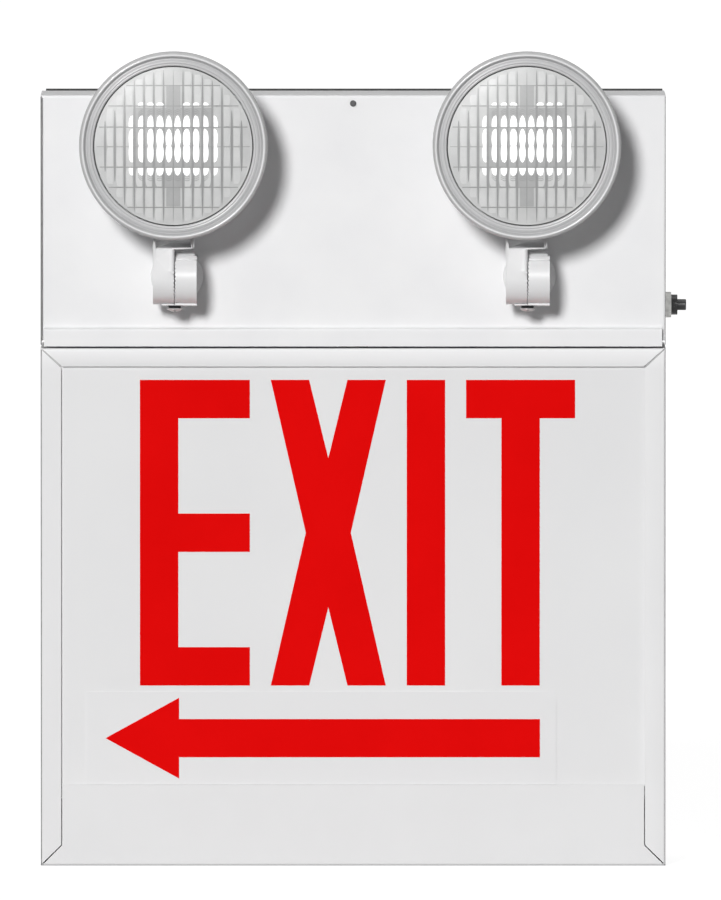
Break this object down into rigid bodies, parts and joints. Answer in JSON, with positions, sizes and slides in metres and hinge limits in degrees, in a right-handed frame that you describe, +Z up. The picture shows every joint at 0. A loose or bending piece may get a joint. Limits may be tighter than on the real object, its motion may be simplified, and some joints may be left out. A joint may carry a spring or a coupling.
{
  "type": "emergency exit light",
  "caption": "Steel wall-mounted exit sign box with a lit sign panel, a battery box above it, two swivelling and tilting round lamp heads and a push test switch.",
  "frame": {"origin": "on the wall face of the case, at the middle of the four wall screw holes", "axes": "+X to the right as seen from the room, +Y into the wall, +Z up"},
  "size_m": [0.4291, 0.162, 0.5426],
  "materials": {
    "case_white": "semi-gloss white powder coat",
    "head_white": "moulded white, semi-gloss",
    "panel_white": "translucent white sheet, satin",
    "arrow_white": "white film, satin",
    "lining_white": "flat white paint",
    "felt_grey": "felt",
    "board_white": "white solder mask",
    "led_yellow": "phosphor gel",
    "zinc": "bright zinc plate",
    "black_oxide": "black oxide",
    "battery_grey": "moulded case",
    "tab_tin": "tinned",
    "core_steel": "varnished laminations",
    "coil_amber": "wrapped coil",
    "board_green": "solder mask",
    "relay_blue": "moulded",
    "cap_black": "sleeved can",
    "fin_alloy": "extruded",
    "block_green": "moulded",
    "rubber_black": "matte",
    "switch_black": "moulded, satin",
    "lens_glass": "clear pressed glass",
    "reflector_silver": "vacuum-coated",
    "capsule_glass": "clear",
    "brass": "plain"
  },
  "bodies": {
    "case": {"back_pan": "case_white", "sign_housing": "case_white", "upper_cover": "case_white", "cover_bracket": "zinc", "cover_screw": "black_oxide", "housing_rivets": "case_white", "sign_panel": "panel_white", "panel_gasket": "felt_grey", "arrow_plate": "arrow_white", "panel_retainers": "zinc", "white_lining": "lining_white", "led_board_top": "board_white", "led_board_bottom": "board_white", "leds_top": "led_yellow", "leds_bottom": "led_yellow", "wire_grommet": "rubber_black", "battery": "battery_grey", "battery_terminals": "tab_tin", "battery_strap": "zinc", "transformer_core": "core_steel", "transformer_coil": "coil_amber", "transformer_clamp": "zinc", "charger_board": "board_green", "board_standoffs": "tab_tin", "transfer_relay": "relay_blue", "capacitors": "cap_black", "heat_sink": "fin_alloy", "terminal_block": "block_green", "switch_body": "switch_black", "switch_nut": "zinc", "switch_collar": "switch_black"},
    "left_knuckle": {"left_head_base": "head_white", "left_pivot_bolt": "zinc", "left_pivot_nut": "zinc", "left_clamp_screw": "zinc", "left_nipple": "zinc", "left_washer": "zinc", "left_locknut": "zinc"},
    "left_lamp": {"left_lamp_shell": "head_white", "left_lamp_ring": "head_white", "left_lamp_gasket": "rubber_black", "left_lamp_lens": "lens_glass", "left_reflector": "reflector_silver", "left_lamp_capsule": "capsule_glass", "left_lamp_terminals": "brass"},
    "right_knuckle": {"right_head_base": "head_white", "right_pivot_bolt": "zinc", "right_pivot_nut": "zinc", "right_clamp_screw": "zinc", "right_nipple": "zinc", "right_washer": "zinc", "right_locknut": "zinc"},
    "right_lamp": {"right_lamp_shell": "head_white", "right_lamp_ring": "head_white", "right_lamp_gasket": "rubber_black", "right_lamp_lens": "lens_glass", "right_reflector": "reflector_silver", "right_lamp_capsule": "capsule_glass", "right_lamp_terminals": "brass"},
    "test_button": {"test_button": "switch_black"}
  },
  "joints": [
    {"name": "left_head_swivel", "type": "hinge", "parent": "case", "child": "left_knuckle", "pos_m": [-0.117, -0.098, 0.1358], "axis": [0, -1, 0], "range_deg": [-35, 90]},
    {"name": "left_head_tilt", "type": "hinge", "parent": "left_knuckle", "child": "left_lamp", "pos_m": [-0.117, -0.128, 0.1358], "axis": [1, 0, 0], "range_deg": [-5, 80]},
    {"name": "right_head_swivel", "type": "hinge", "parent": "case", "child": "right_knuckle", "pos_m": [0.117, -0.098, 0.1358], "axis": [0, 1, 0], "range_deg": [-35, 90]},
    {"name": "right_head_tilt", "type": "hinge", "parent": "right_knuckle", "child": "right_lamp", "pos_m": [0.117, -0.128, 0.1358], "axis": [1, 0, 0], "range_deg": [-5, 80]},
    {"name": "test_button_press", "type": "slide", "parent": "case", "child": "test_button", "axis": [-1, 0, 0], "range_m": [0, 0.0025], "stiffness_N_per_m": 400, "springref_m": -0.002}
  ]
}
